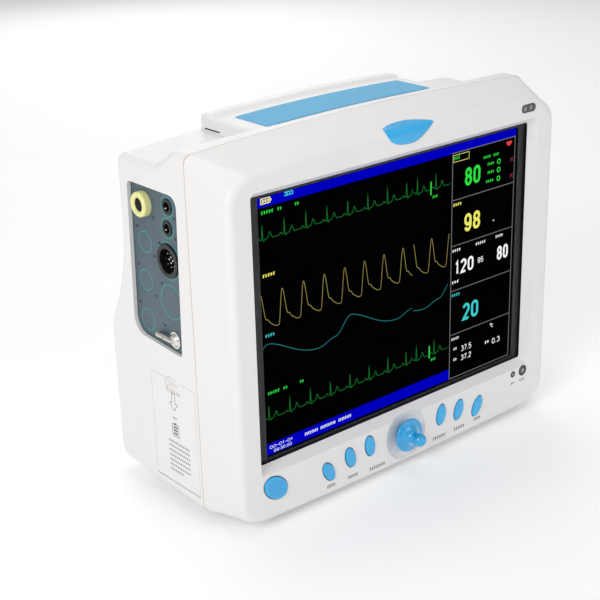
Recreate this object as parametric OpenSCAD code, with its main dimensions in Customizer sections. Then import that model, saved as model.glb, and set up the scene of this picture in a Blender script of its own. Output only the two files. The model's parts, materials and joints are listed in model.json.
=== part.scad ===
// Bedside patient monitor with a 12.1 inch colour display.
// Front faces -Y, +X is the viewer's right, +Z is up. The feet stand on Z = 0.

/* [Case] */
// Width of the case
case_w = 316; // [310:1:322]
// Thickness of the moulded walls
wall = 3; // [2.5:0.1:3.2]
// Rounding of the front edges of the front frame
front_round = 6; // [4:0.5:7]
// Rise of the arched top between its ends and its middle
top_arch = 5; // [3:0.5:6]

/* [Display] */
// Width of the lit screen area, a 4:3 panel
screen_w = 246; // [240:1:248]
// Height of the screen centre above the table
screen_z = 142.5; // [141:0.5:144]
// Depth of the window behind the front face
window_depth = 7; // [6:0.5:7.5]

/* [Controls] */
// Long axis of the oval keys
key_long = 16.6; // [15:0.2:17]
// Short axis of the oval keys
key_short = 8.8; // [8:0.2:10]
// How far the keys stand out of the front face
key_proud = 1.5; // [1:0.1:2]
// Diameter of the flared rim of the knob
knob_d = 26; // [24:0.5:28]
// How far the knob stands out of the front face
knob_reach = 19; // [16.5:0.5:19]

/* [Handle] */
// Length of the carrying handle
handle_w = 180; // [172:2:184]
// Thickness of the soft grip strip
grip_t = 2.2; // [1.8:0.1:2.6]

/* [Service] */
// Inside radius of the pulse sensor socket
oximeter_r = 4.6; // [4:0.1:5]
// Inside radius of the temperature sockets
jack_r = 3.2; // [3:0.05:3.4]
// Inside radius of the heart lead socket
ecg_r = 8.5; // [8:0.1:9]
// Radius of the mounting holes in the base plate
base_hole_r = 2.2; // [2.1:0.05:2.6]
// Spacing of the mounting holes across the base plate
base_pitch_x = 80; // [60:2:90]
// Spacing of the mounting holes along the base plate
base_pitch_y = 40; // [30:2:44]
// Radius of the ground stud
stud_r = 3; // [2.5:0.1:3]

/* [Hidden] */
$fn = 48;
shell_white = [0.93, 0.92, 0.90];
sky_blue = [0.33, 0.68, 0.88];
slate = [0.40, 0.45, 0.50];
steel = [0.75, 0.76, 0.78];
near_black = [0.07, 0.07, 0.08];
board_green = [0.10, 0.35, 0.22];

// Where the main planes lie along Y
face_y = -64;
seam_y = -26;
rear_y = 78;
upper_rear_y = 54.2;
window_y = face_y + window_depth;
lcd_y = -54.2;
rear_plate_y = 70;
// Heights of the outline of the case
base_z = 8.5;
seam_top = 264;
face_top = 255.3;
face_bottom = 6.7;
rear_base_z = 13.5;
seam_gap = 0.5;
half_case = case_w / 2;
half_face = half_case - 3.6;
rear_bulge = 3;
screen_h = screen_w * 3 / 4;
gap = 0.3;

// ---- helpers -----------------------------------------------------------------------------

function lerp(a, b, t) = a + (b - a) * t;
function clamp01(t) = min(1, max(0, t));
function unit(v) = v / norm(v);
function half_turn(a) = a > 180 ? a - 360 : (a <= -180 ? a + 360 : a);

// One corner of an outline, rounded with radius r into n + 1 points
function corner(p, c, q, r, n) =
  let (a = unit(p - c), b = unit(q - c), half = acos(a * b) / 2)
  let (mid = c + unit(a + b) * r / sin(half), reach = r / tan(half))
  let (s = c + a * reach - mid, e = c + b * reach - mid)
  let (a0 = atan2(s[1], s[0]), turn = half_turn(atan2(e[1], e[0]) - a0))
  [for (k = [0:n]) mid + r * [cos(a0 + turn * k / n), sin(a0 + turn * k / n)]];

// Outline from corners [x, y, radius], anticlockwise
function rounded(v, n = 6) = [for (i = [0:len(v) - 1])
  let (p = v[(i + len(v) - 1) % len(v)], c = v[i], q = v[(i + 1) % len(v)])
  each (c[2] > 0
    ? corner([p[0], p[1]], [c[0], c[1]], [q[0], q[1]], c[2], n)
    : [[c[0], c[1]]])];

// Moves an anticlockwise outline inwards by d
function shrink(v, d) = [for (i = [0:len(v) - 1])
  let (c = v[i], p = v[(i + len(v) - 1) % len(v)], q = v[(i + 1) % len(v)])
  let (u = unit(c - p), w = unit(q - c))
  let (nu = [-u[1], u[0]], nw = [-w[1], w[0]])
  c + (nu + nw) * d / (1 + nu * nw)];

function oval(a, b, n = 36) = [for (i = [0:n - 1]) [a * cos(360 * i / n), b * sin(360 * i / n)]];

// Closed skin over sections of equal point count
module skin(sections) {
  n = len(sections[0]);
  m = len(sections);
  polyhedron(
    points = [for (s = sections) each s],
    faces = concat(
      [[for (i = [0:n - 1]) i]],
      [for (k = [0:m - 2], i = [0:n - 1]) each
        let (j = (i + 1) % n)
        [[k * n + i, (k + 1) * n + i, (k + 1) * n + j], [k * n + i, (k + 1) * n + j, k * n + j]]],
      [[for (i = [0:n - 1]) (m - 1) * n + n - 1 - i]]),
    convexity = 8);
}

module block(x0, x1, y0, y1, z0, z1) {
  translate([x0, y0, z0]) cube([x1 - x0, y1 - y0, z1 - z0]);
}

module round_rect(w, h, r) {
  polygon(rounded([[-w / 2, -h / 2, r], [w / 2, -h / 2, r], [w / 2, h / 2, r], [-w / 2, h / 2, r]]));
}

module slot_shape(w, h) {
  square([w - h, h], center = true);
  for (s = [-1, 1]) translate([s * (w - h) / 2, 0]) circle(d = h);
}

// The same slot as one polygon, with n sides to each round end
module slot_outline(w, h, n = 6) {
  polygon([for (s = [1, -1], i = [0:n]) let (a = 180 * i / n - 90)
    s * [(w - h) / 2 + h / 2 * cos(a), h / 2 * sin(a)]]);
}

// On the front face: local x is the viewer's right, y is up, z points out of the face
module on_face(x, z) {
  translate([x, face_y, z]) rotate([90, 0, 0]) children();
}

// Height of the sloping underside of the rear case
function under_at(y) = lerp(base_z, rear_base_z, (y - seam_y) / (rear_y - seam_y));

// On the left side: local x points to the front, y is up, z points out
module left_side(y, z) {
  translate([-half_case, y, z]) rotate([90, 0, -90]) children();
}

module right_side(y, z) {
  mirror([1, 0, 0]) left_side(y, z) children();
}

// ---- outer forms of the two case halves --------------------------------------------------

// Outline of the front frame in X and Z, with bowed top and bottom edges
function frame_outline(half, z0, z1, bow0, bow1, r) =
  let (steps = 12, run = half - r)
  concat(
    [for (i = [0:steps]) let (x = lerp(-run, run, i / steps)) [x, z0 - bow0 * (1 - pow(x / half, 2))]],
    [for (a = [-75:15:75]) if (a < 0) [run + r * cos(a), z0 + r + r * sin(a)]],
    [[half, (z0 + r)], [half, z1 - r]],
    [for (a = [15:15:75]) [run + r * cos(a), z1 - r + r * sin(a)]],
    [for (i = [0:steps]) let (x = lerp(run, -run, i / steps)) [x, z1 + bow1 * (1 - pow(x / half, 2))]],
    [for (a = [105:15:165]) [-run + r * cos(a), z1 - r + r * sin(a)]],
    [[-half, z1 - r], [-half, z0 + r]],
    [for (a = [195:15:255]) [-run + r * cos(a), z0 + r + r * sin(a)]]);

// Section of the front frame at t from 0 behind the rounded edge to 1 at the seam, moved in by d
function frame_section(t, y, d) =
  let (r = max(lerp(20, 6, t) - d, 1.5))
  [for (p = frame_outline(lerp(half_face, half_case, t) - d, lerp(face_bottom, base_z, t) + d,
    lerp(face_top, seam_top, t) - d, lerp(2.8, 0, t), top_arch, r)) [p[0], y, p[1]]];

// Solid form of the front frame, moved in by d; its back runs past the seam by extra
module frame_form(d, extra = 0) {
  r = max(front_round - d, 0.5);
  t_end = 1 + extra / (seam_y - face_y - front_round);
  rows = concat(
    [frame_section(t_end, seam_y + extra, d)],
    [for (a = [90:-15:0]) frame_section(0, face_y + d + r * (1 - cos(a)), d + r * (1 - sin(a)))]);
  for (k = [0:len(rows) - 2]) hull() skin([rows[k], rows[k + 1]]);
}

// Side profile of the rear case in Y and Z
s_turn = 28;
s_low = 122;
s_high = s_low + (rear_y - upper_rear_y) / tan(s_turn);
side_profile = rounded([
  [seam_y - 10, base_z, 0], [seam_y, base_z, 0], [rear_y, rear_base_z, 9], [rear_y, s_low, 40],
  [upper_rear_y, s_high, 140], [upper_rear_y, 251.5, 7], [10, 250.4, 5], [-11.5, 264.4, 5],
  [seam_y, seam_top, 0], [seam_y - 10, seam_top, 0]], 6);

// The top is arched across its width; the ridge flattens towards the handle
function arch_at(y) = y < seam_y ? top_arch
  : y < -12 ? lerp(top_arch, 2, (y - seam_y) / (-12 - seam_y))
  : y < 10 ? lerp(2, top_arch, (y + 12) / 22)
  : top_arch;

function shell_point(p, side, inset) =
  let (x = side * (half_case - inset), across = 1 - pow(x / half_case, 2))
  [x, p[0] + rear_bulge * across * clamp01((p[0] - 30) / 40),
    p[1] + arch_at(p[0]) * across * clamp01((p[1] - 100) / 150)];

// Solid form of the rear case, moved in by d
module shell_form(d) {
  r = max(5 - d, 1);
  turns = [for (a = [0:18:90]) [r * (1 - sin(a)) + d, r * (1 - cos(a)) + d]];
  inner = [for (x = [120, 80, 40]) half_case - x];
  rows = concat(
    [for (q = turns) [-1, q[1], q[0]]],
    [for (x = inner) [-1, x, d]],
    [[0, half_case, d]],
    [for (i = [2:-1:0]) [1, inner[i], d]],
    [for (i = [5:-1:0]) [1, turns[i][1], turns[i][0]]]);
  skin([for (q = rows) [for (p = shrink(side_profile, q[2])) shell_point(p, q[0], q[1])]]);
}

// ---- front frame and what it carries -----------------------------------------------------

key_spots = [[-76, 24.9, 27], [-55.5, 28.7, 16], [-36.5, 31, 9], [36.5, 31, -9], [55.5, 28.7, -16],
  [76, 24.9, -27]];
power_spot = [-124, 30.8, 52];
power_long = 22.4;
power_short = 15.8;
knob_z = 28;
dish_r = 20;
dish_depth = 3.6;
lamp_z = 38.4;
mains_lamp_x = 117;
run_lamp_x = 128.3;
mains_lamp_r = 2.2;
run_lamp_r = 3.6;
sensor_spot = [124.2, 250.8];
window_half_w = 131;
window_half_h = 95.3;
reveal = 4.8;
light_at = [4.6, -59, 255.3];
light_tilt = 38.7;
light_half_w = 22.6;
light_half_h = 8.2;

module reveal_cut() {
  big = rounded([for (c = [[-1, -1], [1, -1], [1, 1], [-1, 1]])
    [c[0] * (window_half_w + reveal), screen_z + c[1] * (window_half_h + reveal), 4]]);
  small = rounded([for (c = [[-1, -1], [1, -1], [1, 1], [-1, 1]])
    [c[0] * window_half_w, screen_z + c[1] * window_half_h, 2]]);
  skin([
    [for (p = small) [p[0], window_y + 2, p[1]]],
    [for (p = small) [p[0], window_y, p[1]]],
    [for (p = big) [p[0], face_y, p[1]]],
    [for (p = big) [p[0], face_y - 2, p[1]]]]);
}

// Outline of the alarm light: an oval at its left end, pointed at its right end
module almond(grow) {
  w = light_half_w + grow;
  h = light_half_h + grow;
  polygon([for (i = [0:3:357])
    let (s = sin(i), c = cos(i), side = s < 0 ? -1 : 1)
    c > 0 ? [w * c, h * side * (1 - pow(c, 1.8))]
      : [-w * pow(-c, 0.8), h * side * pow(abs(s), 0.75)]]);
}

module almond_prism(grow) {
  translate(light_at) rotate([light_tilt, 0, 0])
    translate([0, 0, -12]) linear_extrude(40) almond(grow);
}

case_screw_spots = [[-141, 238.5], [141, 238.5], [-30, 20], [30, 20]];

module screw_post(x, z) {
  translate([x, face_y + wall - 0.5, z]) rotate([-90, 0, 0]) difference() {
    cylinder(d = 8, h = 34);
    translate([0, 0, 12]) cylinder(d = 2.6, h = 30);
  }
}

module front_bezel() color(shell_white) difference() {
  union() {
    difference() {
      frame_form(0);
      frame_form(wall, 2);
    }
    intersection() {
      frame_form(0.5);
      union() {
        block(-window_half_w - 7.5, window_half_w + 7.5, face_y + 1, window_y,
          screen_z - window_half_h - 7.2, screen_z + window_half_h + 7.2);
        on_face(0, knob_z) translate([0, 0, -7]) cylinder(r = dish_r + 0.8, h = 5);
        for (s = case_screw_spots) screw_post(s[0], s[1]);
      }
    }
  }
  reveal_cut();
  for (k = key_spots) on_face(k[0], k[1]) rotate(k[2]) translate([0, 0, -5]) linear_extrude(8)
    polygon(oval(key_short / 2 + 0.35, key_long / 2 + 0.35));
  on_face(power_spot[0], power_spot[1]) rotate(power_spot[2]) translate([0, 0, -5])
    linear_extrude(8) polygon(oval(power_short / 2 + 0.35, power_long / 2 + 0.35));
  for (k = key_spots) on_face(k[0], k[1]) rotate(k[2]) translate([0, 0, -8.5]) linear_extrude(5.4)
    polygon(oval(key_short / 2 + 1.5, key_long / 2 + 1.5));
  on_face(power_spot[0], power_spot[1]) rotate(power_spot[2]) translate([0, 0, -8.5])
    linear_extrude(5.4) polygon(oval(power_short / 2 + 1.5, power_long / 2 + 1.5));
  on_face(0, knob_z) {
    rotate_extrude() polygon([[0, 1], [dish_r, 1], [dish_r, 0], [dish_r - 1.2, -1.6],
      [dish_r - 3.4, -2.8], [dish_r - 7, -dish_depth], [0, -dish_depth]]);
    translate([0, 0, -9]) cylinder(d = 8, h = 12);
  }
  on_face(mains_lamp_x, lamp_z) translate([0, 0, -5]) cylinder(r = mains_lamp_r + 0.2, h = 8);
  on_face(run_lamp_x, lamp_z) translate([0, 0, -5]) cylinder(r = run_lamp_r + 0.2, h = 8);
  on_face(sensor_spot[0], sensor_spot[1]) translate([0, 0, -6]) linear_extrude(10)
    slot_outline(15.9, 6.2, 12);
  difference() {
    almond_prism(0.15);
    frame_form(1.5);
  }
}

module alarm_light() color(sky_blue) intersection() {
  difference() {
    frame_form(-0.5);
    frame_form(1.4);
  }
  almond_prism(0);
}

module sensor_window() color([0.25, 0.25, 0.27])
  on_face(sensor_spot[0], sensor_spot[1]) translate([0, 0, -3]) linear_extrude(2.6)
    slot_shape(15.5, 5.8);

module lamp(x, r) {
  on_face(x, lamp_z) translate([0, 0, -4]) cylinder(r = r, h = 4.2);
}

module mains_lamp() color([0.75, 0.78, 0.76]) lamp(mains_lamp_x, mains_lamp_r);
module run_lamp() color([0.60, 0.62, 0.64]) lamp(run_lamp_x, run_lamp_r);

// Domed oval key: cap, retaining flange behind the wall and a stem for the switch
module key(spot, long, short) {
  a = short / 2;
  b = long / 2;
  on_face(spot[0], spot[1]) rotate(spot[2]) {
    skin([for (q = [[-3.4, 1], [key_proud - 1, 1], [key_proud - 0.45, 0.97], [key_proud - 0.12, 0.88],
      [key_proud, 0.72]]) [for (p = oval(a * q[1], b * q[1])) [p[0], p[1], q[0]]]]);
    translate([0, 0, -4.4]) linear_extrude(1.1) polygon(oval(a + 1.1, b + 1.1));
    translate([0, 0, -5.4]) cylinder(r = 1.6, h = 1.4);
  }
}

module power_button() color(sky_blue) key(power_spot, power_long, power_short);
module menu_key() color(sky_blue) key(key_spots[0], key_long, key_short);
module start_key() color(sky_blue) key(key_spots[1], key_long, key_short);
module record_key() color(sky_blue) key(key_spots[2], key_long, key_short);
module silence_key() color(sky_blue) key(key_spots[3], key_long, key_short);
module freeze_key() color(sky_blue) key(key_spots[4], key_long, key_short);
module main_key() color(sky_blue) key(key_spots[5], key_long, key_short);

module knob() color(sky_blue) on_face(0, knob_z) {
  rim = knob_d / 2;
  rotate_extrude() polygon(concat(
    [[3.02, -2.4], [8, -2.4], [8.6, 0.6], [rim - 1, 2.4]],
    [for (a = [-60:30:90]) [rim - 1 + cos(a), 3.4 + sin(a)]],
    [for (t = [0.1:0.1:1]) [lerp(rim - 1, 4.2, sin(90 * t)), lerp(4.4, 10.6, 1 - cos(90 * t))]],
    [for (a = [-35:15:90]) [5.1 * cos(a), knob_reach - 4.4 + 4.4 * sin(a)]],
    [[0, 9], [3.02, 9]]));
}

module knob_shaft() color(steel) on_face(0, knob_z) translate([0, 0, -15.2]) cylinder(r = 3, h = 24.1);

module encoder_rotor() color([0.85, 0.85, 0.8]) on_face(0, knob_z) translate([0, 0, -15])
  difference() {
    cylinder(r = 5, h = 3);
    translate([0, 0, -1]) cylinder(r = 3.06, h = 5);
  }

module encoder_body() color(steel) on_face(0, knob_z) difference() {
  union() {
    translate([-6.5, -6.5, -17.4]) cube([13, 13, 7]);
    translate([0, 0, -10.5]) cylinder(r = 3.7, h = 4.5);
  }
  translate([0, 0, -16.2]) cylinder(r = 5.3, h = 4.6);
  translate([0, 0, -12]) cylinder(r = 3.15, h = 8);
}

module key_board() color(board_green) difference() {
  union() {
    block(-140, 136, -55.5, -53.9, 14, 37);
    block(108, 136, -55.5, -53.9, 14, 37.6);
  }
  for (s = case_screw_spots) translate([s[0], -60, s[1]]) rotate([-90, 0, 0]) cylinder(r = 4.6, h = 12);
  on_face(0, knob_z) translate([0, 0, -12]) cylinder(r = 4, h = 5);
}

module key_switches() color(near_black) {
  for (k = concat(key_spots, [power_spot])) on_face(k[0], k[1])
    translate([-3, -3, -8.4]) cube([6, 6, 1.6]);
}

module display_window() color([0.75, 0.8, 0.85, 0.3])
  block(-134, 134, window_y + 0.1, window_y + 1.7, screen_z - 98, screen_z + 98);

module lcd_frame() color([0.2, 0.2, 0.21]) difference() {
  block(-136, 136, -55.2, -45, screen_z - 101.5, screen_z + 104.5);
  block(-screen_w / 2 - 0.5, screen_w / 2 + 0.5, -56, -54, screen_z - screen_h / 2 - 0.5,
    screen_z + screen_h / 2 + 0.5);
  block(-134, 134, -54.4, -44, screen_z - 99.5, screen_z + 102.5);
}

module lcd_panel() color(near_black)
  block(-133.5, 133.5, lcd_y, lcd_y + 8, screen_z - 99, screen_z + 102);

// ---- rear case ---------------------------------------------------------------------------

panel_mid = [16, 177.6];
panel_outline = rounded([[-29.5, -53.3, 12], [26.8, -56.8, 3], [30.8, 56.9, 8], [-25.8, 56.9, 4]]);
panel_posts = [[-22.5, 51], [26, 51], [-20, -44], [6, -49]];
panel_drop = 3.2;
door_mid = [3.3, 58.9];
door_w = 52;
door_h = 80.8;
pin_reach = 1.8;
recorder_mid = [12, 162];
recorder_w = 66;
recorder_h = 72;
hinge_inset = 1.5;
release_up = 43;
latch_w = 16;
pocket_half = 66;
pocket_floor = 226;
handle_front = -12;
handle_rear = 50;
notch_half = handle_w / 2 + 0.4;
notch_z = 247.5;
screw_seat_y = -17;
rear_open = [100, 27, 98];
base_plate_w = 110;
base_plate_d = 64;
base_plate_y = 20;
base_screw_x = 50;
speaker_spot = [12, 82];

module hand_pocket(grow) {
  block(-pocket_half - grow, pocket_half + grow, 6 - grow, 90, pocket_floor - grow, 275);
}

// Recess that the handle sits in
module handle_notch(grow) {
  block(-notch_half - grow, notch_half + grow, handle_front - 0.3 - grow, handle_rear + 0.4 + grow,
    notch_z - grow, 290);
}

module screw_well(x, z) {
  translate([x, seam_y - 1.3, z]) rotate([-90, 0, 0]) cylinder(d = 11, h = 110, $fn = 24);
}

module side_openings() {
  left_side(panel_mid[0], panel_mid[1]) translate([0, 0, -8]) linear_extrude(12)
    polygon(panel_outline);
  left_side(door_mid[0], door_mid[1]) {
    translate([-door_w / 2, -door_h / 2 - 0.6, -8]) cube([door_w, door_h + 0.6, 12]);
    translate([-5.5, door_h / 2 - 1, -8]) cube([11, 2.8, 12]);
    translate([-door_w / 2 - pin_reach - 0.5, -door_h / 2 + 1.8, -hinge_inset]) rotate([0, 90, 0])
      cylinder(r = 1.1, h = door_w + 2 * pin_reach + 1);
  }
  right_side(recorder_mid[0], recorder_mid[1]) {
    translate([-recorder_w / 2, -recorder_h / 2 - 0.6, -8])
      cube([recorder_w, recorder_h + 0.6, 12]);
    translate([-recorder_w / 2 - pin_reach - 0.5, -recorder_h / 2 + 1.8, -hinge_inset])
      rotate([0, 90, 0]) cylinder(r = 1.1, h = recorder_w + 2 * pin_reach + 1);
    translate([0, release_up, -8]) linear_extrude(12) slot_outline(16.6, 7.6, 12);
  }
  right_side(speaker_spot[0], speaker_spot[1])
    for (i = [-3:3]) translate([0, i * 5.5, -8]) linear_extrude(12)
      slot_outline(2 * sqrt(22 * 22 - pow(i * 5.5, 2)), 2.4);
}

module rear_openings() {
  block(-rear_open[0], rear_open[0], rear_plate_y - 2.1, 90, rear_open[1], rear_open[2]);
  for (side = [-1, 1], i = [0:6]) translate([side * (82 + i * 8), 40, 190]) rotate([-90, 0, 0])
    linear_extrude(30) rotate(90) slot_outline(40, 3.4);
  block(-base_plate_w / 2, base_plate_w / 2, base_plate_y - base_plate_d / 2,
    base_plate_y + base_plate_d / 2, 0, base_z + 3.3);
  for (x = [-1, 1]) translate([x * base_screw_x, base_plate_y, 0]) cylinder(r = 1.5, h = 15.3);
  for (x = [-1, 1], y = [-1, 1])
    translate([x * base_pitch_x / 2, base_plate_y + y * base_pitch_y / 2, 0])
      cylinder(r = base_hole_r + 1, h = 15.3);
}

// Lip inside the seam that locates the front frame
module seam_lip() {
  intersection() {
    difference() {
      frame_form(wall + 0.3, 2);
      frame_form(wall + 2, 2);
    }
    block(-200, 200, seam_y - 5, seam_y + 1.2, 0, 300);
  }
  intersection() {
    difference() {
      frame_form(wall - 1, 2);
      frame_form(wall + 2, 2);
    }
    block(-200, 200, seam_y + seam_gap, seam_y + 1.9, 0, 300);
  }
}

// Frame round the opening in the back, with a ledge for the panel and its screws
module rear_ledge() {
  difference() {
    block(-rear_open[0] - 3, rear_open[0] + 3, rear_plate_y - 8, 82, rear_open[1] - 3,
      rear_open[2] + 3);
    block(-rear_open[0] + 9, rear_open[0] - 9, 60, 90, rear_open[1] + 9, rear_open[2] - 9);
  }
}

module rear_shell() color(shell_white) difference() {
  union() {
    difference() {
      shell_form(0);
      difference() {
        shell_form(wall);
        hand_pocket(wall);
        handle_notch(wall);
      }
      block(-200, 200, -60, seam_y + seam_gap, 0, 300);
    }
    intersection() {
      shell_form(0.5);
      union() {
        for (s = case_screw_spots) screw_well(s[0], s[1]);
        rear_ledge();
      }
    }
    seam_lip();
    block(-base_plate_w / 2 - 5, base_plate_w / 2 + 5, base_plate_y - base_plate_d / 2 - 5,
      base_plate_y + base_plate_d / 2 + 5, base_z, base_z + 7.5);
  }
  hand_pocket(0);
  handle_notch(0);
  side_openings();
  rear_openings();
  for (s = case_screw_spots) translate([s[0], seam_y - 3, s[1]]) rotate([-90, 0, 0]) {
    cylinder(d = 3.6, h = 20, $fn = 24);
    translate([0, 0, screw_seat_y - seam_y + 3]) cylinder(d = 7, h = 110, $fn = 24);
  }
  for (s = panel_screw_spots) translate([s[0], rear_plate_y - 7, s[1]]) rotate([-90, 0, 0])
    cylinder(r = 1.5, h = 20, $fn = 24);
}

// ---- carrying handle ---------------------------------------------------------------------

// The handle's section is a low body with a raised rib along its rear edge
handle_body = rounded([[handle_front, notch_z, 0], [43, notch_z, 0], [43, 264, 0], [26, 264.4, 1],
  [handle_front, 264.3, 2.5]], 5);
handle_rib = rounded([[30, notch_z, 0], [handle_rear, notch_z, 2], [handle_rear, 266.4, 4],
  [39.5, 266.4, 2], [30, 261.2, 0]], 5);

// A convex section carried along the handle, with rounded ends and an arched top
module along_handle(section) {
  half = handle_w / 2;
  rows = concat(
    [for (a = [0:22.5:90]) [-half + 3 * (1 - cos(a)), 3 * (1 - sin(a))]],
    [for (x = [-60:20:60]) [x, 0]],
    [for (a = [90:-22.5:0]) [half - 3 * (1 - cos(a)), 3 * (1 - sin(a))]]);
  rings = [for (q = rows) [for (p = shrink(section, q[1]))
    [q[0], p[0], p[1] + 2.2 * (1 - pow(q[0] / half, 2)) * clamp01((p[1] - 250) / 12)]]];
  for (k = [0:len(rings) - 2]) hull() skin([rings[k], rings[k + 1]]);
}

grip_half = 77;
grip_y0 = handle_front + 2;
grip_y1 = 26.5;

module handle() color(shell_white) difference() {
  union() {
    along_handle(handle_body);
    along_handle(handle_rib);
  }
  block(-pocket_half, pocket_half, 6, 90, 240, 253.5);
  for (s = [-1, 1]) block(s * 88 - 5, s * 88 + 5, 27, 44, 252, 253.2);
  intersection() {
    translate([0, 0, -grip_t]) handle_top();
    block(-grip_half - 0.2, grip_half + 0.2, grip_y0 - 0.2, grip_y1 + 0.2, 255, 290);
  }
}

// Everything above the arched upper face of the handle
module handle_top() {
  skin([for (x = [-90:10:90])
    let (z = 264.35 + 2.2 * (1 - pow(x / (handle_w / 2), 2)))
    [[x, -40, z], [x, 80, z], [x, 80, 300], [x, -40, 300]]]);
}

module handle_grip() color(sky_blue) intersection() {
  difference() {
    translate([0, 0, -grip_t + 0.05]) handle_top();
    translate([0, 0, 0.4]) handle_top();
  }
  linear_extrude(290) translate([0, (grip_y0 + grip_y1) / 2])
    round_rect(2 * grip_half, grip_y1 - grip_y0, 2.5);
}

// ---- left side: battery and sensor connectors --------------------------------------------

module hinged_plate(w, h) {
  translate([-w / 2 + gap, -h / 2 + gap, -2.6]) cube([w - 2 * gap, h - 2 * gap, 2.6]);
  translate([-w / 2 - pin_reach, -h / 2 + 1.8, -hinge_inset]) rotate([0, 90, 0])
    cylinder(r = 0.8, h = w + 2 * pin_reach);
}

module battery_door() color(shell_white) left_side(door_mid[0], door_mid[1]) difference() {
  hinged_plate(door_w, door_h);
  translate([-latch_w / 2 - 0.3, door_h / 2 - 9.6, -1.6]) cube([latch_w + 0.6, 12, 4]);
}

module battery_latch() color(shell_white) left_side(door_mid[0], door_mid[1]) {
  translate([-latch_w / 2, door_h / 2 - 5.4, -1.5]) cube([latch_w, 5, 1.3]);
  translate([-5, door_h / 2 - 0.5, -1.5]) cube([10, 1.7, 1.3]);
  for (i = [0:2]) translate([-5, door_h / 2 - 4.6 + i * 1.3, -0.3]) cube([10, 0.6, 0.7]);
}

bay_x0 = -148;
bay_x1 = -38;

module battery_bay() color([0.2, 0.2, 0.22]) {
  difference() {
    block(bay_x0, bay_x1, -20, 33, 17.4, 95);
    block(bay_x0 - 1, bay_x1 - 1.6, -18.4, 31.4, 19, 93.4);
  }
  for (x = [-130, -72]) block(x, x + 4, -20, -12, under_at(-12) + wall + 0.2, 17.4);
}

module battery_pack() color([0.12, 0.2, 0.45]) block(bay_x0 + 2, bay_x1 - 3, -17.6, 30.6, 19, 92);

module connector_panel() color(slate) left_side(panel_mid[0], panel_mid[1]) difference() {
  union() {
    translate([0, 0, -panel_drop - 2]) linear_extrude(2) polygon(shrink(panel_outline, 0.25));
    translate([0, 0, -panel_drop - 2]) linear_extrude(1.1) polygon(shrink(panel_outline, -4));
    for (c = panel_posts) translate([c[0], c[1], -20]) cylinder(r = 2.5, h = 16);
  }
  for (c = panel_holes) translate([panel_mid[0] - c[0], c[1] - panel_mid[1], -9])
    cylinder(r = c[2], h = 10);
}

oximeter_spot = [27.6, 220.5];
jack_spots = [[0.3, 224.4], [1.5, 209.2]];
ecg_spot = [2.7, 186.2];
cuff_spot = [-0.5, 130];
panel_holes = [[oximeter_spot[0], oximeter_spot[1], 7.7], [jack_spots[0][0], jack_spots[0][1], 4.4],
  [jack_spots[1][0], jack_spots[1][1], 4.4], [ecg_spot[0], ecg_spot[1], 9.9],
  [cuff_spot[0], cuff_spot[1], 3.2]];

// Round socket: rim on the panel and a barrel behind it, with a blind bore
module socket(rim_r, rim_h, barrel_r, bore_r, depth, round) {
  rotate_extrude() polygon(concat(
    [[0, -depth - 1.4], [barrel_r, -depth - 1.4], [barrel_r, 0], [rim_r, 0]],
    [for (a = [0:15:90]) [rim_r - round + round * cos(a), rim_h - round + round * sin(a)]],
    [for (a = [90:15:180]) [bore_r + round + round * cos(a), rim_h - round + round * sin(a)]],
    [[bore_r, -depth], [0, -depth]]));
}

module on_panel(c) {
  left_side(c[0], c[1]) translate([0, 0, -panel_drop]) children();
}

module oximeter_socket() color([0.92, 0.9, 0.62]) on_panel(oximeter_spot)
  socket(8.8, 5.7, 7.5, oximeter_r, 9, 2);

module temperature_sockets() color(near_black)
  for (c = jack_spots) on_panel(c) socket(5.4, 0.8, 4.2, jack_r, 12, 0.3);

module ecg_socket() color(near_black) on_panel(ecg_spot) socket(12, 1.6, 9.7, ecg_r, 8, 0.6);

module ecg_pins() color(steel) on_panel(ecg_spot) {
  for (i = [0:7]) rotate(i * 45) translate([5.2, 0, -8]) cylinder(r = 0.65, h = 6);
  for (i = [0:3]) rotate(i * 90) translate([2, 0, -8]) cylinder(r = 0.65, h = 6);
}

module cuff_fitting() color(steel) on_panel(cuff_spot) difference() {
  union() {
    translate([0, 0, -12]) cylinder(r = 3, h = 12.2);
    cylinder(r = 6, h = 1.2);
    translate([0, 0, 1]) cylinder(r1 = 5, r2 = 3.2, h = 2.2);
    translate([0, 0, 3]) rotate([0, -90, 0]) {
      cylinder(r = 1.9, h = 18);
      translate([0, 0, 10]) cylinder(r1 = 2.4, r2 = 1.9, h = 2.4);
      translate([0, 0, 15]) cylinder(r1 = 2.45, r2 = 1.9, h = 3);
    }
  }
  translate([0, 0, 3]) rotate([0, -90, 0]) translate([0, 0, 1]) cylinder(r = 1.1, h = 18);
}

module sensor_board() color(board_green) left_side(panel_mid[0], panel_mid[1]) {
  translate([-26, -52, -21.7]) cube([54, 104, 1.6]);
  translate([-16, -30, -24]) cube([14, 14, 2.3]);
  translate([2, 4, -25]) cube([18, 26, 3.3]);
}

// ---- inside: display chassis, boards, pump, fan and speaker -------------------------------

module chassis() color(steel) {
  difference() {
    block(-134, 134, -43, -41.8, 26, 244);
    for (x = [-100, 100]) translate([x, -50, 215]) rotate([-90, 0, 0]) cylinder(r = 9, h = 12);
  }
  for (x = [-44, 94], z = [66, 194]) translate([x, -41.8, z]) rotate([-90, 0, 0])
    cylinder(r = 3, h = 6.7);
  block(-112, -58, -41.8, -38, 148, 152);
  block(-112, -58, -41.8, -38, 198, 202);
}

module main_board() color(board_green) {
  block(-50, 100, -35, -33.4, 60, 200);
  block(0, 30, -33.4, -30, 120, 150);
  block(50, 85, -33.4, -26, 90, 130);
  for (i = [0:3]) block(-40 + i * 9, -35 + i * 9, -33.4, -29, 160, 190);
}

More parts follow.
